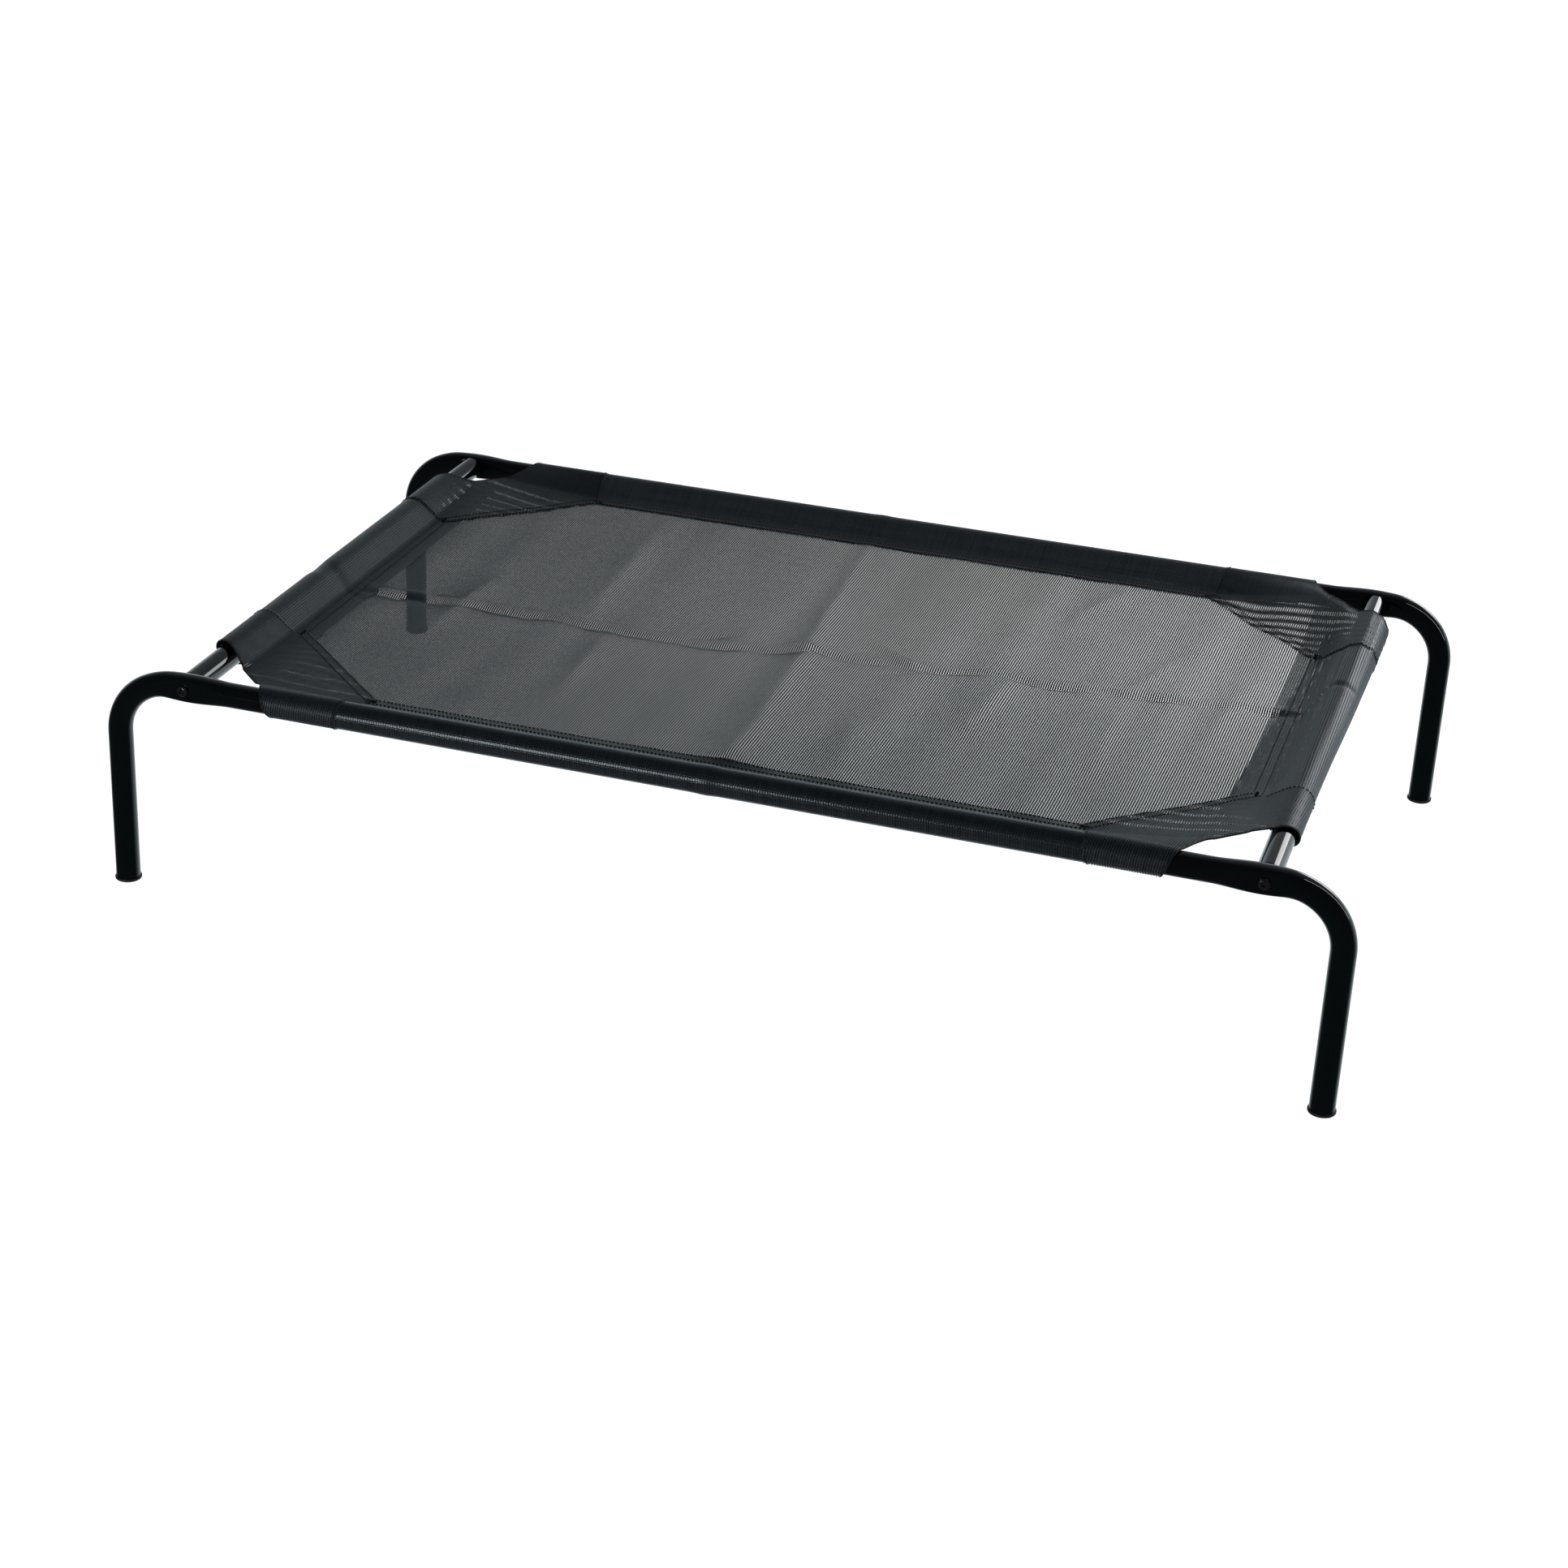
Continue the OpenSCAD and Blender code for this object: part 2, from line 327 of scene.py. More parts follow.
def floor_material():
    m = new_material("pale_floor")
    place = m.place()
    cloud = m.noise(place, 3.0, 2.0)
    parts = m.add("ShaderNodeSeparateXYZ", {"Vector": place}).outputs
    # Painted light: the floor glows brighter toward the right and the rear, as if lit there by the light from
    # behind on the right.
    rightward = m.between(parts["X"], -0.4, 0.4, 0.0, 1.0)
    rearward = m.between(parts["Y"], 0.0, 0.5, 0.0, 1.0)
    painted_light_pool = m.times(rightward, rearward)
    return m.finish(
        Base_Color=m.mix(cloud, (0.030, 0.031, 0.032, 1), (0.036, 0.037, 0.038, 1)),
        Roughness=0.9,
        Emission_Color=(1, 1, 1, 1),
        Emission_Strength=m.between(painted_light_pool, 0.0, 1.0, 1.06, 1.15),
    )


# ---- Meshes


def add_object(name, data):
    piece = bpy.data.objects.new(name, data)
    bpy.context.scene.collection.objects.link(piece)
    return piece


def add_surface(name, vertices, faces):
    mesh = bpy.data.meshes.new(name)
    mesh.from_pydata([tuple(v) for v in vertices], [], faces)
    return add_object(name, mesh)


def finish_object(name, node, vertices, faces, material, sharp_angle=35.0):
    """A smooth piece of the bed, in the place of a node of the part if one is given."""
    piece = add_surface(name, vertices, faces)
    mesh = piece.data
    mesh.validate()
    mesh.shade_smooth()
    mesh.set_sharp_from_angle(angle=math.radians(sharp_angle))
    mesh.materials.append(material)
    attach(piece, "root")
    if node:
        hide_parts(node)
    return piece


def ring_faces(rings, sides, loop):
    """Quads between rings of points, round each ring, and from the last ring back to the first with loop."""
    faces = []
    for i in range(rings if loop else rings - 1):
        j = (i + 1) % rings
        for k in range(sides):
            n = (k + 1) % sides
            faces.append((i * sides + k, i * sides + n, j * sides + n, j * sides + k))
    return faces


def make_tube(node, outer, inner, material):
    """A steel tube with a wall: outer rings from end to end, then the inner rings back."""
    rings = np.concatenate([outer, inner[::-1]])
    faces = ring_faces(len(rings), rings.shape[1], True)
    finish_object(node + "_tube", node, rings.reshape(-1, 3), faces, material)


def angles_round(sides):
    return np.arange(sides) * 2 * math.pi / sides


def lathe(name, node, profile, sides, turn, material):
    """A closed turned solid. profile holds (radius, height) from axis to axis. A radius may be an array."""
    angles = angles_round(sides)
    vertices = [turn @ Vector((0, 0, profile[0][1]))]
    for radius, height in profile[1:-1]:
        xs, ys = radius * np.cos(angles), radius * np.sin(angles)
        vertices += [turn @ Vector((x, y, height)) for x, y in zip(xs, ys)]
    vertices.append(turn @ Vector((0, 0, profile[-1][1])))
    rings = len(profile) - 2
    faces = [tuple(1 + i for i in f) for f in ring_faces(rings, sides, False)]
    faces += [(0, 1 + (k + 1) % sides, 1 + k) for k in range(sides)]
    last = 1 + (rings - 1) * sides
    faces += [(len(vertices) - 1, last + k, last + (k + 1) % sides) for k in range(sides)]
    finish_object(name, node, vertices, faces, material)


# ---- Frame


def rail_stations():
    """Centres and outward directions along a rail, from foot to foot, in its own XZ plane."""
    bend_x, bend_z = LEG_X - BEND_RADIUS, RAIL_Z - BEND_RADIUS
    legs = np.linspace(LEG_FOOT_Z, bend_z, 12)[:-1]
    turns = np.radians(np.linspace(0, 90, 37))
    pressed = np.linspace(bend_x, PRESS_X - 1.25 * PRESS_HALF, 42)
    middle = np.linspace(PRESS_X - 1.25 * PRESS_HALF, 0, 14)[1:]
    half = [((LEG_X, z), (1.0, 0.0)) for z in legs]
    half += [
        ((bend_x + BEND_RADIUS * math.cos(a), bend_z + BEND_RADIUS * math.sin(a)), (math.cos(a), math.sin(a)))
        for a in turns
    ]
    half += [((x, RAIL_Z), (0.0, 1.0)) for x in [*pressed[1:], *middle]]
    left = [((-x, z), (-ox, oz)) for (x, z), (ox, oz) in half]
    return left + half[-2::-1]


def press(points, centre_y, side, inset):
    """Makes a rail thinner and dished where it is pressed for its bolt. side is -1 for the front rail."""
    x, y, z = points[..., 0], points[..., 1] - centre_y, points[..., 2]
    away = np.abs(np.abs(x) - PRESS_X)
    half = PRESS_THICKNESS / 2 + (TUBE_R - PRESS_THICKNESS / 2) * (away / PRESS_HALF) ** 2
    half = np.minimum(half, 2 * TUBE_R)
    from_bolt = np.hypot(np.abs(x) - BAR_X, z - RAIL_Z)
    outside = np.sign(y) == side
    dish = SEAT_DEPTH * (1 - smooth_step(0.8 * SEAT_R, 1.15 * SEAT_R, from_bolt))
    seat = SEAT_DEPTH * (1 - smooth_step(TUBE_R, TUBE_R + 0.0015, from_bolt))
    half = half - np.where(outside, dish, seat) - inset
    near = smooth_step(0.0, 0.006, 1.6 * PRESS_HALF - away)
    pressed = smooth_min(np.abs(y), half, PRESS_BLEND)
    points[..., 1] = centre_y + np.sign(y) * (near * pressed + (1 - near) * np.abs(y))
    return points


def rail_rings(side, inset):
    angles = angles_round(TUBE_SIDES)
    rings = []
    for (x, z), (out_x, out_z) in rail_stations():
        bulge = PRESS_BULGE * bump(abs(x), PRESS_X, 1.35 * PRESS_HALF) if out_z > 0.5 else 0.0
        radius = TUBE_R + bulge * smooth_step(0.5, 1.0, out_z) - inset
        out = radius * np.cos(angles)
        ys = side * RAIL_Y + radius * np.sin(angles)
        rings.append(np.stack([x + out_x * out, ys, z + out_z * out], -1))
    return press(np.array(rings), side * RAIL_Y, side, inset)


def make_rail(name, side, material):
    make_tube(name, rail_rings(side, 0.0), rail_rings(side, TUBE_WALL), material)


def make_cross_bar(name, side, material):
    angles = angles_round(TUBE_SIDES)
    ends = np.array([-BAR_END_Y, -BAR_END_Y + 0.0004])
    stations = np.concatenate([ends, np.linspace(-0.3, 0.3, 25), -ends[::-1]])

    def rings(inset, chamfer):
        made = []
        for y in stations:
            radius = TUBE_R - inset - (chamfer if abs(y) > BAR_END_Y - 0.0001 else 0.0)
            xs = side * BAR_X + radius * np.cos(angles)
            zs = RAIL_Z + radius * np.sin(angles)
            made.append(np.stack([xs, np.full(TUBE_SIDES, y), zs], -1))
        return np.array(made)

    make_tube(name, rings(0.0, 0.0003), rings(TUBE_WALL, 0.0), material)


def at_bolt(x_side, y_side):
    """Turns +Z of a lathe to point out of the rail at a bolt, with its zero on the tube axis."""
    out = Matrix.Rotation(math.radians(-90 * y_side), 4, "X")
    return Matrix.Translation((x_side * BAR_X, y_side * RAIL_Y, RAIL_Z)) @ out


def make_bolt(name, x_side, y_side, material):
    head_top = BOLT_TOP_Y - RAIL_Y
    head_low = head_top - 0.0033
    shank_r, shank_end = 0.003, head_low - 0.040
    socket_flat, socket_depth = 0.0020, 0.0021
    mouth_r = 0.0027
    sides = 48
    profile = [(0, shank_end), (shank_r - 0.0006, shank_end), (shank_r, shank_end + 0.0006)]
    profile += [(shank_r, head_low), (BOLT_R - 0.0002, head_low), (BOLT_R, head_low + 0.0002)]
    dome_low = head_low + 0.0007
    for turn in np.radians(np.linspace(0, 90, 11)):
        radius = mouth_r + (BOLT_R - mouth_r) * math.cos(turn) ** 0.8
        profile.append((radius, dome_low + (head_top - dome_low) * math.sin(turn)))
    hexagon = socket_flat / np.cos(np.mod(angles_round(sides), math.pi / 3) - math.pi / 6)
    floor_z = head_top - socket_depth
    profile += [(1.12 * hexagon, head_top - 0.00025), (hexagon, head_top - 0.0005)]
    profile += [(hexagon, floor_z), (0.6 * hexagon, floor_z - 0.0002), (0, floor_z - 0.0004)]
    lathe(name + "_screw", name, profile, sides, at_bolt(x_side, y_side), material)


def make_foot_cap(name, x_side, y_side, material):
    flange_z, edge, lip = LEG_FOOT_Z, 0.0009, 0.0007
    plug_r = TUBE_R - TUBE_WALL - 0.00005
    plug_top = cap_high.z
    profile = [(0, 0.0), (0.0012, 0.0), (CAP_R - 1.6 * edge, 0.0)]
    for turn in np.radians(np.linspace(15, 90, 6)):
        profile.append((CAP_R - edge * 1.4 * (1 - math.sin(turn)), edge * (1 - math.cos(turn))))
    for turn in np.radians(np.linspace(0, 90, 5)):
        profile.append((CAP_R - lip * (1 - math.cos(turn)), flange_z - lip * (1 - math.sin(turn))))
    profile += [(plug_r, flange_z), (plug_r, flange_z + 0.003), (plug_r - 0.0004, flange_z + 0.0036)]
    profile += [(plug_r - 0.0004, flange_z + 0.006), (plug_r, flange_z + 0.0066), (plug_r, plug_top - 0.002)]
    profile += [(plug_r - 0.0012, plug_top), (0, plug_top)]
    leg = Matrix.Translation((x_side * LEG_X, y_side * RAIL_Y, 0))
    lathe(name + "_plug", name, profile, TUBE_SIDES, leg, material)


# ---- Shape of the sling


SAG_GRID = (89, 57)
SAG_FRAMES = 30


def simulate_sag():
    """Lets the panel settle as cloth held at its stitch rows. Returns its grid lines and heights."""
    xs = np.linspace(-SIDE_ROW_X, SIDE_ROW_X, SAG_GRID[0])
    ys = np.linspace(-LONG_ROW_Y, LONG_ROW_Y, SAG_GRID[1])
    x, y = np.meshgrid(xs, ys, indexing="ij")
    rows, columns = x.shape
    points = np.stack([x, y, rng.normal(0, 0.0002, x.shape)], -1).reshape(-1, 3)
    faces = [
        (i * columns + j, (i + 1) * columns + j, (i + 1) * columns + j + 1, i * columns + j + 1)
        for i in range(rows - 1) for j in range(columns - 1)
    ]
    cloth = add_surface("settling_panel", points, faces)
    scene = bpy.context.scene
    beyond = octagon_distance(points[:, 0], points[:, 1]) < 0.001
    held = cloth.vertex_groups.new(name="held")
    held.add([int(i) for i in np.flatnonzero(beyond)], 1.0, "REPLACE")
    modifier = cloth.modifiers.new("cloth", "CLOTH")
    settings = modifier.settings
    settings.quality = 6
    settings.mass = 0.15
    settings.tension_stiffness = settings.compression_stiffness = 40
    settings.shear_stiffness = 15
    settings.bending_stiffness = 2.0
    settings.air_damping = 5.0
    settings.vertex_group_mass = held.name
    modifier.point_cache.frame_start = 1
    modifier.point_cache.frame_end = SAG_FRAMES
    for step in range(1, SAG_FRAMES + 1):
        scene.frame_set(step)
    settled = cloth.evaluated_get(bpy.context.evaluated_depsgraph_get()).data
    heights = np.array([v.co.z for v in settled.vertices]).reshape(x.shape)
    bpy.data.objects.remove(cloth)
    scene.frame_set(1)
    return xs, ys, heights * SAG / max(-heights.min(), 1e-6)


def octagon_distance(x, y):
    """How far inside the inner stitch rows a point is, less than 0 outside."""
    normal_x, normal_y = DIAGONAL_NORMAL
    past = normal_x * (np.abs(x) - DIAGONAL_X) + normal_y * (np.abs(y) - LONG_ROW_Y)
    return np.minimum(-past, np.minimum(SIDE_ROW_X - np.abs(x), LONG_ROW_Y - np.abs(y)))


SAG_X, SAG_Y, SAG_Z = simulate_sag()


def sag(x, y):
    """The settled cloth's height at any point, between the points of its grid."""
    i = np.clip((x - SAG_X[0]) / (SAG_X[1] - SAG_X[0]), 0, len(SAG_X) - 1.001)
    j = np.clip((y - SAG_Y[0]) / (SAG_Y[1] - SAG_Y[0]), 0, len(SAG_Y) - 1.001)
    i0, j0 = i.astype(int), j.astype(int)
    s, t = i - i0, j - j0
    near = SAG_Z[i0, j0] * (1 - t) + SAG_Z[i0, j0 + 1] * t
    far = SAG_Z[i0 + 1, j0] * (1 - t) + SAG_Z[i0 + 1, j0 + 1] * t
    return near * (1 - s) + far * s


def crease_x(y):
    """Where the fold across the bed runs, at each distance along it."""
    return np.minimum(-0.0065 - 0.075 * y, 0.0065) + 0.004 * bump(y, -0.022, 0.030) + 0.0008 * np.sin(y * 55)


def crease_y(x):
    """Where the fold along the bed runs."""
    line = -0.012 + 0.070 * x - 0.013 * bump(x, -0.12, 0.15) + 0.009 * bump(x, 0.165, 0.055)
    return line + 0.0012 * np.sin(x * 97 + 1) + 0.0007 * np.sin(x * 190)


def fold_ridge(distance, height, width):
    """A soft fold with a sharp crest, up where height is positive."""
    return height * np.exp(-np.sqrt(distance**2 + (0.14 * width) ** 2) / width)


def wrinkle(x, y, start, end, bow, height, width):
    """A short fold from start to end, bowed sideways in its middle, that fades out at both ends."""
    dx, dy = end[0] - start[0], end[1] - start[1]
    length = math.hypot(dx, dy)
    t = ((x - start[0]) * dx + (y - start[1]) * dy) / length**2
    off = ((y - start[1]) * dx - (x - start[0]) * dy) / length
    off = off - bow * 4 * t * (1 - t)
    return bump(t, 0.5, 0.65) * fold_ridge(off, height, width)


WRINKLE_GAIN = 3.2
# Of each short fold: start, end, bow, height before the gain, and width.
WRINKLES = [
    ((0.040, 0.046), (0.114, -0.011), -0.003, 0.0013, 0.0045),
    ((0.112, -0.006), (0.066, -0.034), 0.0, -0.0005, 0.0030),
    ((-0.118, -0.022), (-0.070, 0.010), 0.0, -0.0008, 0.0032),
    ((-0.034, -0.001), (0.030, -0.015), 0.004, 0.0009, 0.0050),
    ((0.176, -0.130), (0.190, 0.016), 0.0, 0.0022, 0.0200),
    ((0.300, -0.210), (0.294, 0.014), 0.0, 0.0019, 0.0220),
    ((0.290, -0.002), (0.322, 0.110), 0.0, 0.0015, 0.0130),
    ((-0.220, -0.030), (-0.236, 0.230), 0.0, 0.0013, 0.0180),
    ((-0.178, -0.210), (-0.190, -0.030), 0.0, 0.0013, 0.0180),
    ((0.205, 0.120), (0.250, 0.262), 0.010, 0.0012, 0.0130),
    ((0.080, -0.120), (0.098, -0.255), 0.0, 0.0010, 0.0170),
    ((-0.340, -0.120), (-0.330, 0.060), 0.006, 0.0009, 0.0140),
    ((0.375, -0.110), (0.395, 0.090), 0.0, 0.0012, 0.0150),
]


def sling_relief(x, y):
    """Height of folds and waves in the panel above its settled shape."""
    across = x - crease_x(y)
    along = y - crease_y(x)
    front = smooth_step(0.20, -0.15, y)
    relief = fold_ridge(across, 0.0036 + 0.0044 * front, 0.009 + 0.013 * front)
    uneven = 1.0 + 0.25 * np.sin(61 * x + 0.6) + 0.15 * np.sin(137 * x)
    relief = relief - fold_ridge(along, 0.0027 * uneven, 0.0055) + 0.0009 * bump(along, 0.011, 0.011) * uneven
    for fold in WRINKLES:
        relief = relief + WRINKLE_GAIN * wrinkle(x, y, *fold)
    strength = 0.4 + 0.6 * smooth_step(-0.15, 0.25, x)
    long_waves = np.sin(2 * math.pi * x / 0.083 + 1.1 + 3.0 * y)
    short_waves = np.sin(2 * math.pi * x / 0.057 + 2.4 - 4.0 * y)
    return relief + 0.00085 * strength * (long_waves + 0.6 * short_waves)


def pucker(x, y):
    """Small waves where the stitch rows gather the cloth."""
    inward = np.maximum(octagon_distance(x, y), 0.0)
    ripple = np.sin(520 * x + 3 * np.sin(60 * y)) + np.sin(470 * y + 3 * np.sin(50 * x))
    return 0.00010 * ripple * np.exp(-inward / 0.010)


def seam_fade(x, y):
    """1 well inside the stitch rows, 0 at the sling's fold lines."""
    return smooth_step(0.0, 0.030, np.minimum(PANEL_X - np.abs(x), PANEL_Y - np.abs(y)))


# The line across a corner from which the cloth is pulled up: its normal, and a point on it.
PULL_NORMAL = (0.729, 0.684)
PULL_POINT = (0.430, 0.283)
PULL_REACH = 0.085
# How strong the pull is at the front left and right and at the rear left and right.
PULL_BY_CORNER = np.array([[0.15, 0.95], [0.50, 1.10]])


def corner_pull(x, y):
    """How far up towards the tops of the tubes the cloth is pulled, near each corner: 1 is all the way."""
    inward = PULL_NORMAL[0] * (PULL_POINT[0] - np.abs(x)) + PULL_NORMAL[1] * (PULL_POINT[1] - np.abs(y))
    near = (1 - np.clip(inward / PULL_REACH, 0, 1)) ** 1.5
    return near * PULL_BY_CORNER[(y >= 0).astype(int), (x >= 0).astype(int)]


def flat_height(x, y):
    """Height of the single layer inside the fold lines."""
    low = SEAM_Z + sag(x, y) + seam_fade(x, y) * (sling_relief(x, y) + pucker(x, y))
    return low + corner_pull(x, y) * np.maximum(TUBE_TOP - low, 0.0)


AXIS_HIGH = RAIL_Z - SEAM_Z


def straight_run(reach, rise, radius, side):
    """Length and slope of the cloth between fold line and tube. side is 1 over the tube and -1 below it."""
    distance = np.hypot(reach, rise)
    slope = np.arctan2(rise, reach) + side * np.arcsin(radius / distance)
    return np.sqrt(distance**2 - radius**2), slope


def section(reach, radius, gap):
    """Of a sleeve's section: both straight runs, over and below the tube, and the arc between them."""
    straight, lean = straight_run(reach, AXIS_HIGH - gap, radius, 1)
    straight_low, lean_low = straight_run(reach, AXIS_HIGH + gap, radius, -1)
    return straight, lean, straight_low, lean_low, radius * (lean - lean_low + math.pi)


def teardrop(v, reach, radius, gap):
    """A point of a sleeve's section, at v along the cloth from the fold line, over the tube and back below.

    Returns how far out from the fold line and how high above the seam the point is, how much of the pull at
    a corner it takes above the tube, and how much below it.
    """
    straight, lean, straight_low, lean_low, arc = section(reach, radius, gap)
    total = straight + arc + straight_low
    turn = lean + math.pi / 2 - np.clip(v - straight, 0, arc) / radius
    out = reach + radius * np.cos(turn)
    high = AXIS_HIGH + radius * np.sin(turn)
    back = np.clip(total - v, None, straight_low)
    last = v > straight + arc
    for there, way, slope, start in ((v < straight, v, lean, gap), (last, back, lean_low, -gap)):
        run = np.maximum(way, 0)
        out = np.where(there, run * np.cos(slope) + np.minimum(way, 0), out)
        high = np.where(there, start + run * np.sin(slope), high)
    above = np.where(v < straight + radius * lean, 1.0, 0.0)
    below = np.clip(1 - back / straight_low, 0, 1) * last
    return out, high, above, below


def wrap_length(reach, radius):
    """Length of cloth round a sleeve, from fold line to fold line."""
    straight, _, straight_low, _, arc = section(reach, radius, LAYER_GAP)
    return float(straight + straight_low + arc)


LONG_WRAP = wrap_length(RAIL_REACH, LONG_SLEEVE_R)
SIDE_WRAP = wrap_length(BAR_REACH, SIDE_SLEEVE_R)


def sleeve_height(x, y, out, high, above, below, gap):
    """Height of a sleeve's point: the panel's own height inside the fold line, pulled up near a corner."""
    within = out < 0
    ground = np.where(within, flat_height(x, y), SEAM_Z)
    base = SEAM_Z + np.where(within, 0.0, high - gap * above)
    lift = corner_pull(x, y) * np.maximum(TUBE_TOP - base, 0.0) * np.maximum(above, below)
    return np.where(within, ground + high, SEAM_Z + high + lift)


def long_sleeve_place(x, v, side, layer):
    """Where a point of a long sleeve or of a patch over it goes. side is -1 at the front."""
    gap = layer * LAYER_GAP
    crossing = 0.0006 * bump(x, crease_x(side * LONG_ROW_Y), 0.012)
    out, high, above, below = teardrop(v, RAIL_REACH, LONG_SLEEVE_R + gap + crossing, gap)
    y = side * (PANEL_Y + out)
    z = sleeve_height(x, y, out, high, above, below, gap)
    return np.stack([x, y, z], -1)


def side_shape(u, y, side):
    """Radius and outward shift of a side sleeve. The right one hangs wide and ribbed at the rear."""
    if side < 0:
        return SIDE_SLEEVE_R - 0.0010 * bump(y, -0.045, 0.020), 0.0 * y
    rear = smooth_step(-0.25, 0.25, y)
    ribs = 0.0005 * rear * np.sin(2 * math.pi * u / 0.012 + 5 * y)
    return 0.0122 + 0.0040 * rear + ribs, 0.0005 + 0.0040 * rear


def side_dent(u, y, side):
    """The fold where the lengthwise crease climbs over a side sleeve: an arch on the right one."""
    if side < 0:
        return 0.0008 * bump(y, -0.050 + 0.5 * u, 0.007) * smooth_step(0.070, 0.030, u)
    line = 0.020 + 0.048 * smooth_step(0.0, 0.024, u) - 0.30 * np.maximum(u - 0.028, 0)
    return 0.0018 * bump(y, line, 0.0065) * smooth_step(0.070, 0.035, u)


def side_sleeve_place(u, y, side, layer):
    """Where a point of a side sleeve goes. side is -1 at the left."""
    gap = layer * LAYER_GAP
    radius, shift = side_shape(u, y, side)
    out, high, above, below = teardrop(u, BAR_REACH + shift, radius + gap, gap)
    x = side * (PANEL_X + out)
    z = sleeve_height(x, y, out, high, above, below, gap)
    return np.stack([x, y, z - side_dent(u, y, side)], -1)


def sling_place(x, y, layer):
    """Puts flat cloth coordinates in space: flat inside the fold lines, and round the tubes beyond them."""
    flat = np.stack([x, y, flat_height(x, y) + layer * LAYER_GAP], -1)
    for side in (-1, 1):
        on_rail = side * y > PANEL_Y
        flat[on_rail] = long_sleeve_place(x[on_rail], np.abs(y[on_rail]) - PANEL_Y, side, layer)
        on_bar = side * x > PANEL_X
        flat[on_bar] = side_sleeve_place(np.abs(x[on_bar]) - PANEL_X, y[on_bar], side, layer)
    return flat


# ---- Flat outlines of the cloth


def spare(x_side, y_side):
    """How much more cloth is left at a corner."""
    return 0.010 if (x_side, y_side) == (1, 1) else 0.0


def long_end(v):
    """Half length of a long sleeve at v past the fold line: a curved cut that runs inward round the tube."""
    t = np.clip(v / LONG_WRAP, 0, 1)
    return LONG_CORNER - 0.022 * np.sqrt(t) - 0.026 * t


def side_end(u):
    """Half length of a side sleeve at u past the fold line."""
    t = np.clip(u / SIDE_WRAP, 0, 1)
    return SIDE_CORNER - 0.012 * np.sqrt(t) - 0.040 * t


def inside(points, outline):
    """Which points lie in a closed outline."""
    x, y = points[:, 0], points[:, 1]
    hit = np.zeros(len(points), bool)
    for (x0, y0), (x1, y1) in zip(outline, np.roll(outline, -1, axis=0)):
        crosses = (y0 > y) != (y1 > y)
        with np.errstate(divide="ignore", invalid="ignore"):
            hit ^= crosses & (x < (x1 - x0) * (y - y0) / (y1 - y0) + x0)
    return hit


def distance_to(points, outline):
    best = np.full(len(points), np.inf)
    for a, b in zip(outline, np.roll(outline, -1, axis=0)):
        d = b - a
        t = np.clip(((points - a) @ d) / (d @ d), 0, 1)
        best = np.minimum(best, np.linalg.norm(points - a - t[:, None] * d, axis=1))
    return best


def divide(outline, step):
    """The outline with points at most step apart."""
    points = []
    for a, b in zip(outline, np.roll(outline, -1, axis=0)):
        count = max(1, math.ceil(np.linalg.norm(b - a) / step))
        points += [a + (b - a) * i / count for i in range(count)]
    return np.array(points)


def cut_cloth(outline, xs, ys, step):
    """Flat triangle mesh of an outline, with the grid points of xs and ys inside it."""
    outline = np.array(outline, float)
    grid = np.stack(np.meshgrid(xs, ys), -1).reshape(-1, 2)
    grid = grid[inside(grid, outline)]
    grid = grid[distance_to(grid, outline) > 0.45 * step]
    border = divide(outline, step)
    points = [Vector(p) for p in np.concatenate([border, grid])]
    loop = list(range(len(border)))
    made = delaunay_2d_cdt(points, [], [loop], 1, 1e-7)
    return np.array([tuple(p) for p in made[0]]), [tuple(f) for f in made[2]]


def area_of(outline):
    p = np.array(outline, float)
    q = np.roll(p, -1, axis=0)
    return abs((p[:, 0] * q[:, 1] - q[:, 0] * p[:, 1]).sum()) / 2


def make_cloth(name, node, outline, spans, steps, place, material):
    """Cuts the sheet that replaces a node, puts it in place and gives it thickness.

    spans are its two flat ranges, each low and high, and steps the distances of its points. The flat
    coordinates stay with the piece for the weave.
    """
    xs, ys = (spaced(low, high, step) for (low, high), step in zip(spans, steps))
    flat, faces = cut_cloth(outline, xs, ys, steps[2])
    piece = finish_object(name, node, place(flat[:, 0], flat[:, 1]), faces, material, 60.0)
    cloth = piece.data.attributes.new("cloth", "FLOAT_VECTOR", "POINT")
    coordinates = np.column_stack([flat, np.zeros(len(flat))])
    cloth.data.foreach_set("vector", coordinates.ravel())
    solidify = piece.modifiers.new("thickness", "SOLIDIFY")
    solidify.thickness = CLOTH
    solidify.offset = 0.0
    area_of(outline)
    return piece


def spaced(low, high, step):
    return np.linspace(low, high, max(2, round((high - low) / step) + 1))


# ---- Sling pieces

# Distances of a piece's points: in x, in y (or round the tube) and on the border.
PANEL_STEPS = (0.0037, 0.0031, 0.0035)
LONG_STEPS = (0.005, 0.0024, 0.004)
SIDE_STEPS = (0.0024, 0.004, 0.004)
PATCH_STEPS = (0.0030, 0.0025, 0.003)


def make_panel(material):
    outline = []
    for x_side, y_side in ((1, -1), (1, 1), (-1, 1), (-1, -1)):
        more = spare(x_side, y_side)
        corner = [
            (x_side * (LONG_CORNER + more), y_side * PANEL_Y),
            (x_side * PANEL_X, y_side * (SIDE_CORNER + more)),
        ]
        outline += corner if x_side * y_side < 0 else corner[::-1]
    make_cloth(
        "mesh_panel", "sling_panel", outline,
        ((-PANEL_X, PANEL_X), (-PANEL_Y, PANEL_Y)), PANEL_STEPS,
        lambda x, y: sling_place(x, y, 0), material,
    )


def sleeve_outline(start, wrap, end, spares):
    """Flat outline, (length, way round): two ends cut along a curve, with tongues to the stitch rows."""
    steps = spaced(0, wrap, 0.004)
    half = [(end(0) + 0.3 * start, start)] + [(end(v), v) for v in steps]
    half.append((end(wrap) + 0.3 * start, wrap - start))
    positive = [(length + spares[1], v) for length, v in half]
    negative = [(-length - spares[0], v) for length, v in half[::-1]]
    return positive + negative


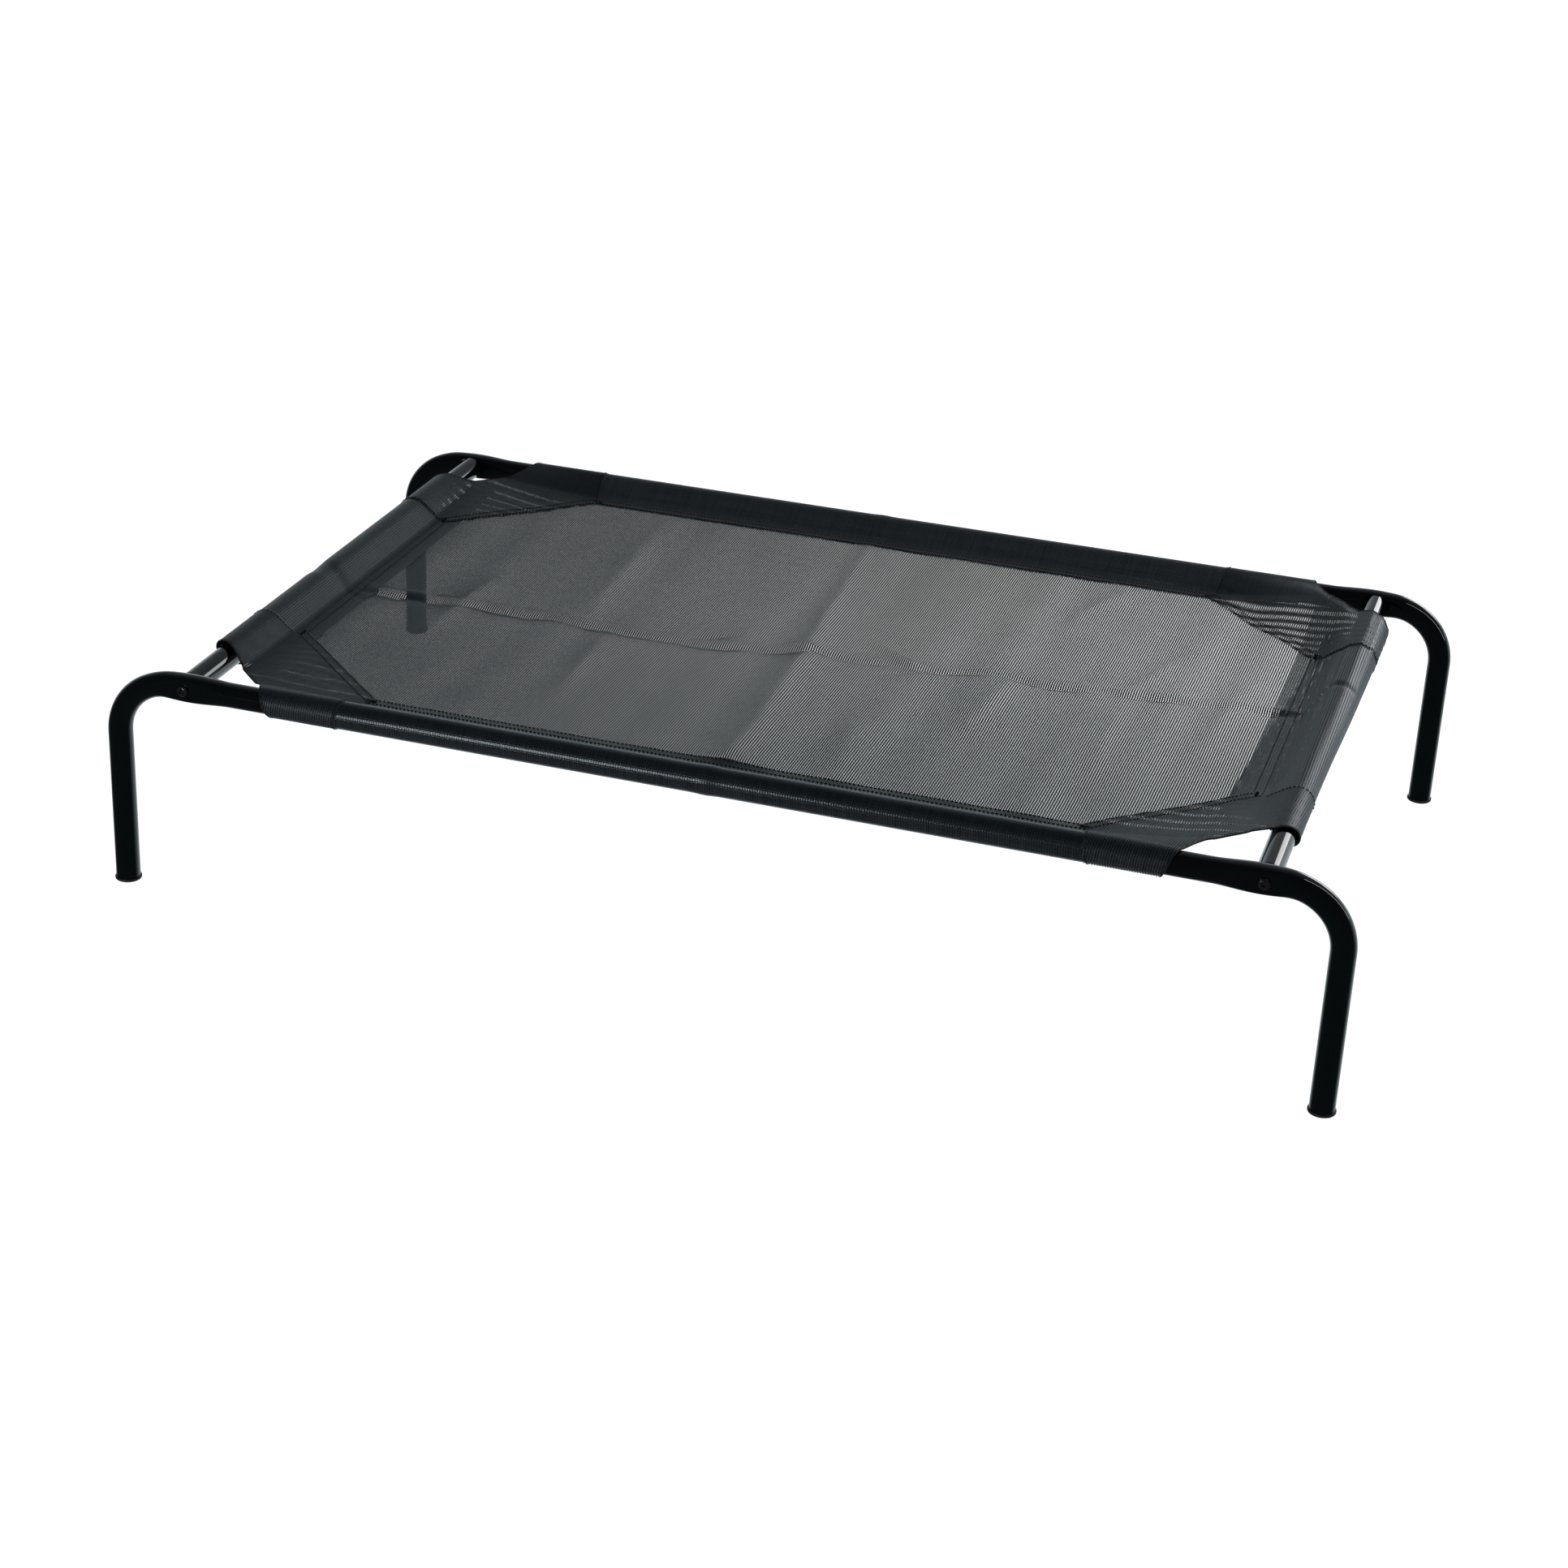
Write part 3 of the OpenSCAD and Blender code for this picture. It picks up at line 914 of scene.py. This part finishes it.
def make_long_sleeve(name, side, material):
    start = -(PANEL_Y - LONG_ROW_Y + HEM)
    spares = (spare(-1, side), spare(1, side))
    outline = sleeve_outline(start, LONG_WRAP, long_end, spares)
    stop, half = LONG_WRAP - start, LONG_CORNER + spares[1]
    piece = make_cloth(
        name + "_cloth", name, outline,
        ((-half, half), (start, stop)), LONG_STEPS,
        lambda x, v: long_sleeve_place(x, v, side, 1), material,
    )
    move_cloth(piece, lambda c: np.stack([c[:, 0], side * (PANEL_Y + c[:, 1])], -1))


def make_side_sleeve(name, side, material):
    start = -(PANEL_X - SIDE_ROW_X + SIDE_STRIP)
    spares = (spare(side, -1), spare(side, 1))
    outline = [(u, y) for y, u in sleeve_outline(start, SIDE_WRAP, side_end, spares)]
    stop, half = SIDE_WRAP - start, SIDE_CORNER + spares[1]
    piece = make_cloth(
        name + "_cloth", name, outline,
        ((start, stop), (-half, half)), SIDE_STEPS,
        lambda u, y: side_sleeve_place(u, y, side, 1), material,
    )
    move_cloth(piece, lambda c: np.stack([side * (PANEL_X + c[:, 0]), c[:, 1]], -1))


def move_cloth(piece, change):
    """Rewrites a sheet's flat coordinates, so that its weave runs on from the panel's or lies turned."""
    attribute = piece.data.attributes["cloth"]
    values = np.zeros(len(piece.data.vertices) * 3, np.float32)
    attribute.data.foreach_get("vector", values)
    values = values.reshape(-1, 3)
    values[:, :2] = change(values[:, :2].astype(float))
    attribute.data.foreach_set("vector", values.ravel())


def opening(more, step):
    """The two cut edges at a corner: the long sleeve's, inward, and the side sleeve's, outward."""
    on_long = [(long_end(v) + more, PANEL_Y + v) for v in spaced(0, LONG_WRAP, step)[::-1]]
    return on_long, [(PANEL_X + u, side_end(u) + more) for u in spaced(0, SIDE_WRAP, step)]


def patch_outline(x_side, y_side):
    """Flat outline of a corner's second layer: over the panel's corner and round both tubes."""
    on_long, on_side = opening(spare(x_side, y_side), 0.005)
    edge = [(DIAGONAL_X - HEM, LONG_ROW_Y - HEM), (DIAGONAL_X + 0.004, PANEL_Y)]
    edge += [(DIAGONAL_X + 0.016, PANEL_Y + LONG_WRAP), *on_long, *on_side]
    edge += [(PANEL_X + SIDE_WRAP, DIAGONAL_Y + 0.004), (PANEL_X, DIAGONAL_Y + 0.002)]
    edge += [(SIDE_ROW_X - HEM, DIAGONAL_Y - HEM)]
    return np.array([(x_side * x, y_side * y) for x, y in edge])


# Degrees by which the weave of each corner patch is turned.
PATCH_TURN = {(-1, -1): 4.0, (1, -1): 5.0, (-1, 1): 11.0, (1, 1): 12.0}


def turned_weave(x_side, y_side):
    """The second layer's weave lies a few degrees off the first, and bends, so the two make broad stripes."""
    angle = math.radians(PATCH_TURN[x_side, y_side])
    bend = 0.035 * PATCH_TURN[x_side, y_side]

    def change(c):
        x, y = c[:, 0] - x_side * DIAGONAL_X, c[:, 1] - y_side * DIAGONAL_Y
        turned_x = x * math.cos(angle) - y * math.sin(angle) + bend * y * y
        turned_y = x * math.sin(angle) + y * math.cos(angle) + bend * x * x
        return np.stack([turned_x, turned_y], -1)

    return change


def make_patch(name, x_side, y_side, material):
    outline = patch_outline(x_side, y_side)
    low, high = outline.min(0), outline.max(0)
    piece = make_cloth(
        name + "_cloth", name, outline,
        tuple(zip(low, high)), PATCH_STEPS,
        lambda x, y: sling_place(x, y, 2), material,
    )
    move_cloth(piece, turned_weave(x_side, y_side))


# ---- Stitches and hems


def surface_frames(x, y, layer):
    """Points of the sling at flat coordinates, and the directions out of the cloth there."""
    reach = 0.0004
    spot = sling_place(x, y, layer)
    to_x = sling_place(x + reach, y, layer) - sling_place(x - reach, y, layer)
    to_y = sling_place(x, y + reach, layer) - sling_place(x, y - reach, layer)
    out = np.cross(to_x, to_y)
    return spot, out / np.linalg.norm(out, axis=-1, keepdims=True)


def round_strands(centres, outs, radii, sides):
    """Closed strands round rows of centres, shape (strands, stations, 3). Returns vertices and faces."""
    along = np.gradient(centres, axis=1)
    along /= np.linalg.norm(along, axis=-1, keepdims=True)
    across = np.cross(along, outs)
    turns = angles_round(sides)
    rings = centres[:, :, None] + radii[None, :, None, None] * (
        np.cos(turns)[:, None] * outs[:, :, None] + np.sin(turns)[:, None] * across[:, :, None]
    )
    count, stations = centres.shape[:2]
    one = ring_faces(stations, sides, False)
    one += [tuple(range(sides))[::-1], tuple((stations - 1) * sides + k for k in range(sides))]
    size = stations * sides
    faces = [tuple(strand * size + i for i in f) for strand in range(count) for f in one]
    return rings.reshape(-1, 3), faces


def stitch_strands(centres, directions, length, layer, face):
    """Stitches at flat points, along flat directions. face is 1 on top of the cloth and -1 below it."""
    places = np.linspace(-0.5, 0.5, 5)
    flat = centres[:, None] + places[None, :, None] * length * directions[:, None]
    spot, out = surface_frames(flat[..., 0].ravel(), flat[..., 1].ravel(), layer)
    shape = flat.shape[:2] + (3,)
    spot, out = spot.reshape(shape), out.reshape(shape) * face
    rise = CLOTH / 2 + THREAD_R * (0.75 - 5.0 * places**2)
    radii = THREAD_R * np.array([0.6, 1.0, 1.0, 1.0, 0.6])
    return round_strands(spot + rise[None, :, None] * out, out, radii, 5)


def row_stitches(a, b, layer, face):
    """A row of stitches between two flat points."""
    a, b = np.array(a, float), np.array(b, float)
    length = np.linalg.norm(b - a)
    count = max(1, round(length / STITCH_PITCH))
    centres = a + (b - a) * ((np.arange(count) + 0.5) / count)[:, None]
    centres += rng.normal(0, 0.00010, centres.shape)
    directions = np.broadcast_to((b - a) / length, centres.shape)
    return stitch_strands(centres, directions, STITCH_LENGTH, layer, face)


def tack_stitches(middle, direction, layer):
    """A bar tack: short threads side by side across a seam's end."""
    direction = np.array(direction, float) / np.linalg.norm(direction)
    across = np.array([-direction[1], direction[0]])
    centres = np.array(middle) + np.linspace(-TACK_HALF, TACK_HALF, TACK_THREADS)[:, None] * direction
    centres += rng.normal(0, 0.00012, centres.shape)
    return stitch_strands(centres, np.broadcast_to(across, centres.shape), TACK_LENGTH, layer, 1)


def join_strands(name, parts, material):
    vertices, faces = [], []
    for points, loops in parts:
        start = sum(len(v) for v in vertices)
        vertices.append(points)
        faces += [tuple(start + i for i in f) for f in loops]
    finish_object(name, None, np.concatenate(vertices), faces, material, 50.0)


def octagon(outward):
    """One quarter of the octagon of stitch rows: its corners on the long edge and on the short edge."""
    normal_x, normal_y = DIAGONAL_NORMAL
    on_long = (DIAGONAL_X + outward * normal_x / (1 + normal_y), LONG_ROW_Y + outward)
    on_short = (SIDE_ROW_X + outward, DIAGONAL_Y + outward * normal_y / (1 + normal_x))
    return np.array(on_long), np.array(on_short)


def make_stitches(material):
    top, under = [], []
    for outward in (0.0, ROW_GAP):
        on_long, on_short = octagon(outward)
        for side in (-1, 1):
            flip_y, flip_x = np.array([1, side]), np.array([side, 1])
            for parts, layer, face in ((top, 1, 1), (under, -1, -1)):
                parts.append(row_stitches(on_long * (-1, side), on_long * flip_y, layer, face))
                parts.append(row_stitches(on_short * (side, -1), on_short * flip_x, layer, face))
        for _, x_side, y_side in CORNERS:
            flip = np.array([x_side, y_side])
            top.append(row_stitches(on_long * flip, on_short * flip, 2, 1))
            under.append(row_stitches(on_long * flip, on_short * flip, 0, -1))
    for _, x_side, y_side in CORNERS:
        flip = np.array([x_side, y_side])
        long_seam = [(DIAGONAL_X + 0.007, PANEL_Y), (DIAGONAL_X + 0.018, PANEL_Y + LONG_WRAP)]
        side_seam = [(PANEL_X, DIAGONAL_Y + 0.005), (PANEL_X + SIDE_WRAP, DIAGONAL_Y + 0.007)]
        for a, b in (long_seam, side_seam):
            top.append(row_stitches(a * flip, b * flip, 2, 1))
        for inner, outer, direction in zip(octagon(0.0), octagon(ROW_GAP), ((1, 0), (0, 1))):
            top.append(tack_stitches((0.6 * inner + 0.4 * outer) * flip, direction, 2))
    join_strands("stitches_top", top, material)
    join_strands("stitches_under", under, material)


def make_hem(name, x_side, y_side, material):
    """The turned edge round a corner's opening, from below one tube over to below the other."""
    on_long, on_side = opening(spare(x_side, y_side), 0.003)
    first, last = np.array(on_long[-1]), np.array(on_side[0])
    between = [tuple(first + (last - first) * t) for t in np.linspace(0, 1, 9)[1:-1]]
    flat = np.array(on_long + between + on_side) * (x_side, y_side)
    spot, out = surface_frames(flat[:, 0], flat[:, 1], 1.5)
    radii = np.full(len(flat), HEM_R)
    radii[[0, -1]] *= 0.6
    vertices, faces = round_strands(spot[None], out[None], radii, 8)
    finish_object(name, None, vertices, faces, material, 60.0)


# ---- Stage


def area_light(name, place, target, size, power):
    lamp = bpy.data.lights.new(name, "AREA")
    lamp.shape = "RECTANGLE"
    lamp.size, lamp.size_y = size
    lamp.energy = power
    piece = add_object(name, lamp)
    piece.location = place
    piece.rotation_euler = (Vector(target) - Vector(place)).to_track_quat("-Z", "Y").to_euler()
    piece.visible_camera = False


def light_world():
    """A dim room, brighter behind the bed, with a white sweep low down there."""
    world = bpy.data.worlds.new("studio")
    bpy.context.scene.world = world
    m = Nodes(world, "BACKGROUND")
    direction = m.add("ShaderNodeTexCoord").outputs["Generated"]
    parts = m.add("ShaderNodeSeparateXYZ", {"Vector": direction}).outputs
    room = m.between(parts["Y"], 0.0, 1.0, 0.05, 0.38, "SMOOTHSTEP")
    low = m.between(parts["Z"], 0.08, 0.38, 0.7, 0.0)
    behind = m.between(parts["Y"], 0.2, 0.7, 0.0, 1.0)
    m.finish(Strength=m.math("MULTIPLY_ADD", low, behind, room), Color=(0.84, 0.95, 1.0, 1))


def stage_surface(name, corners, faces, material):
    """A surface of the studio, which no reflection shows."""
    surface = add_surface(name, corners, faces)
    surface.data.materials.append(material)
    surface.visible_glossy = False
    return surface


FLOOR_HALF = 12.0
WALL_RADIUS = FLOOR_HALF - 0.1
WALL_HEIGHT = 12.0
WALL_SIDES = 64


def make_backdrop(material):
    """A round wall far off, which closes the view over the floor. It takes no part in the light."""
    corners = [
        (WALL_RADIUS * math.cos(turn), WALL_RADIUS * math.sin(turn), z)
        for z in (0.0, WALL_HEIGHT) for turn in angles_round(WALL_SIDES)
    ]
    wall = stage_surface("backdrop", corners, ring_faces(2, WALL_SIDES, False), material)
    wall.visible_diffuse = False
    wall.visible_transmission = False
    wall.visible_shadow = False


def make_stage():
    corners = [(FLOOR_HALF * x, FLOOR_HALF * y, 0) for x, y in ((-1, -1), (1, -1), (1, 1), (-1, 1))]
    pale = floor_material()
    floor = stage_surface("floor", corners, [(0, 1, 2, 3)], pale)
    floor.location.z = -0.0001
    make_backdrop(pale)
    light_world()
    area_light("rear_softbox", (1.3, 2.3, 0.95), (0.2, 0.3, 0.1), (1.2, 0.8), 14)
    area_light("front_strip", (-0.82, -2.1, 0.42), (-0.3, -0.32, 0.2), (0.50, 0.12), 8)
    area_light("side_strip", (1.69, 0.33, 1.26), (0.3, -0.33, 0.2), (0.07, 2.0), 5)
    bpy.context.scene.view_settings.view_transform = "Standard"


CAMERA_PLACE = (0.7255, -2.5073, 1.2869)
CAMERA_YAW, CAMERA_DOWN, CAMERA_ROLL = 16.612, 25.284, 2.760
CAMERA_LENS = 69.88


def make_camera():
    """A camera turned by its yaw from +Y toward -X, tipped down and rolled, all in degrees."""
    lens = bpy.data.cameras.new("camera")
    lens.lens = CAMERA_LENS
    lens.clip_end = 60
    camera = add_object("camera", lens)
    camera.matrix_world = Matrix.Translation(CAMERA_PLACE)
    for degrees, axis in ((CAMERA_YAW, "Z"), (90 - CAMERA_DOWN, "X"), (CAMERA_ROLL, "Z")):
        camera.matrix_world = camera.matrix_world @ Matrix.Rotation(math.radians(degrees), 4, axis)
    bpy.context.scene.camera = camera


# ---- Build

make_camera()
make_stage()

paint = paint_material()
for name, side in (("front_rail", -1), ("rear_rail", 1)):
    make_rail(name, side, paint)
for name, side in (("left_cross_bar", -1), ("right_cross_bar", 1)):
    make_cross_bar(name, side, paint)

oxide = grained_material(
    "black_oxide", (0.030, 0.031, 0.033, 1), (0.075, 0.077, 0.080, 1), (0.12, 0.22), (1800.0, 0.6), 260.0,
    (0.00003, 0.4), Metallic=0.85,
)
cap_plastic = plastic_material("moulded_cap", 0.010, 0.020, (0.42, 0.60))
insert_plastic = plastic_material("moulded_nylon", 0.020, 0.032, (0.50, 0.65))
for corner, x_side, y_side in CORNERS:
    make_bolt("bolt_" + corner, x_side, y_side, oxide)
    make_foot_cap("foot_cap_" + corner, x_side, y_side, cap_plastic)
    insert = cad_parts["insert_" + corner]
    insert.data.materials.clear()
    insert.data.materials.append(insert_plastic)

weave = mesh_material("woven_mesh", 0.036, 0.76, 0.24, 0.40, 0.0003)
panel_weave = mesh_material("woven_mesh_panel", 0.046, 0.755, 0.23, 0.46, 0.0002, (0.10, 0.09))
taut_weave = mesh_material("woven_mesh_taut", 0.027, 0.86, 0.60, 0.22, 0.00014)
# Painted light: the rear sleeve's copy of the cloth has a lighter tone, for the light on its side that faces
# the front.
rear_weave_painted_light = mesh_material("woven_mesh_rear_painted_light", 0.070, 0.80, 0.42, 0.38, 0.0003)
loose_weave = mesh_material("woven_mesh_patch", 0.040, 0.62, 0.18)
# The rear right patch: a more open weave, and painted light: a lighter tone than the other patches, for the
# light that falls on that corner.
open_weave_painted_light = mesh_material("woven_mesh_pulled_painted_light", 0.056, 0.45, 0.10)
make_panel(panel_weave)
make_long_sleeve("front_sleeve", -1, taut_weave)
make_long_sleeve("rear_sleeve", 1, rear_weave_painted_light)
make_side_sleeve("left_sleeve", -1, weave)
make_side_sleeve("right_sleeve", 1, weave)
hem = ribbed_material(
    "bound_edge", (0.0040, 0.0050, 0.0058, 1), (0.014, 0.016, 0.018, 1), (0.45, 0.62), (420.0, 1.0),
    (1500.0, 3.0), (0.0002, 0.6), 0.35,
)
thread = ribbed_material(
    "black_thread", (0.0025, 0.0032, 0.004, 1), (0.009, 0.010, 0.012, 1), (0.55, 0.75), (900.0, 1.5),
    (3000.0, 2.0), (0.00008, 0.7), 0.3,
)
for corner, x_side, y_side in CORNERS:
    patch_weave = open_weave_painted_light if corner == "rear_right" else loose_weave
    make_patch("corner_patch_" + corner, x_side, y_side, patch_weave)
    make_hem("hem_" + corner, x_side, y_side, hem)
make_stitches(thread)
